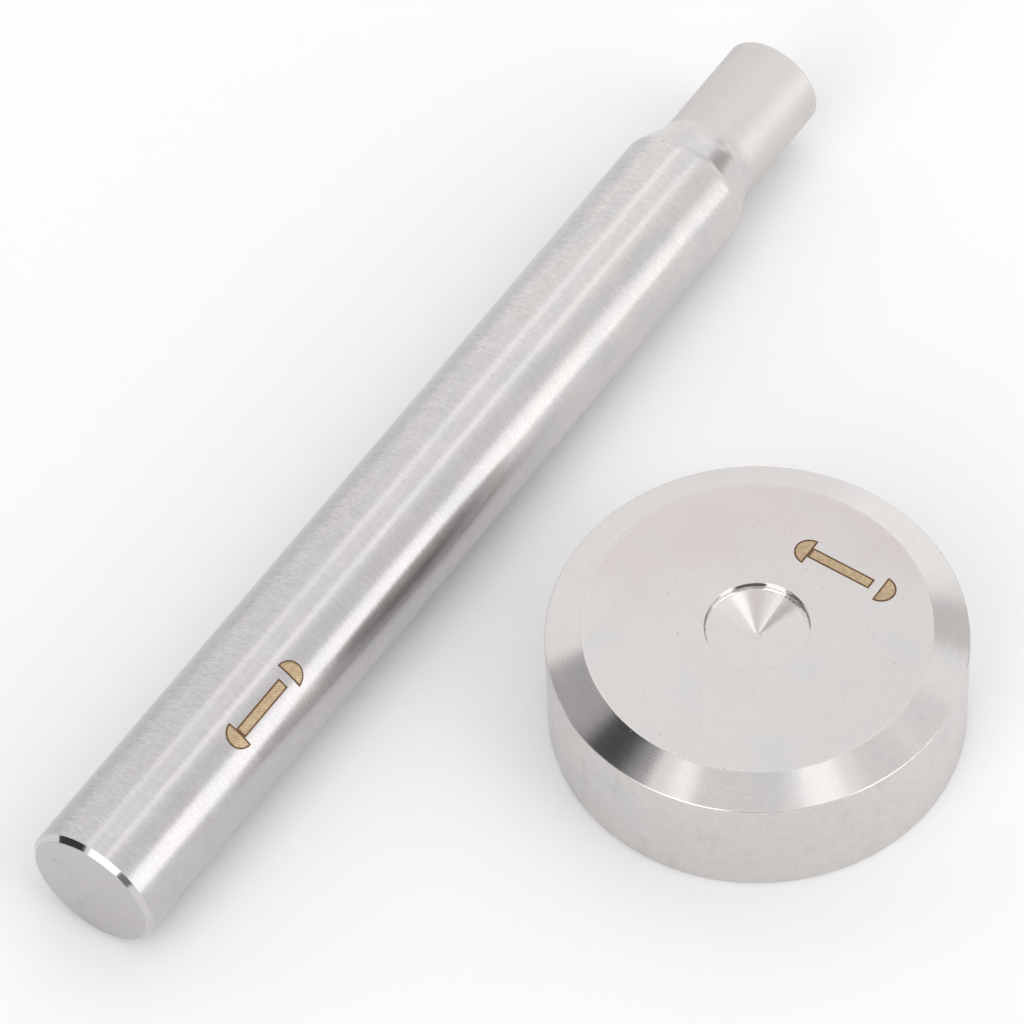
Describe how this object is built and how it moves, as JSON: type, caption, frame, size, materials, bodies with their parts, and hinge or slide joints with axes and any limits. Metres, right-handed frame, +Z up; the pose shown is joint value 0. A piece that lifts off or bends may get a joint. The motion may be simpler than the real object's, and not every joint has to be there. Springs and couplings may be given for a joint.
{
  "type": "rivet setter",
  "caption": "Leatherworking rivet setter: a round steel punch with a dished tip, and a round steel anvil with a shallow cap recess.",
  "frame": {"origin": "centre of the anvil's underside, on the bench the tool rests on", "axes": "+Z up from the bench, +X along the lying punch from its struck end towards its tip, +Y from the anvil towards the punch"},
  "size_m": [0.111, 0.0617, 0.013],
  "materials": {
    "anvil_steel": "satin turned",
    "punch_steel": "satin ground"
  },
  "bodies": {
    "anvil": {"anvil": "anvil_steel"},
    "punch": {"punch": "punch_steel"}
  },
  "joints": [
    {"name": "punch_lift", "type": "slide", "parent": "anvil", "child": "punch", "axis": [0, 0, 1], "range_m": [0, 0.12]}
  ]
}
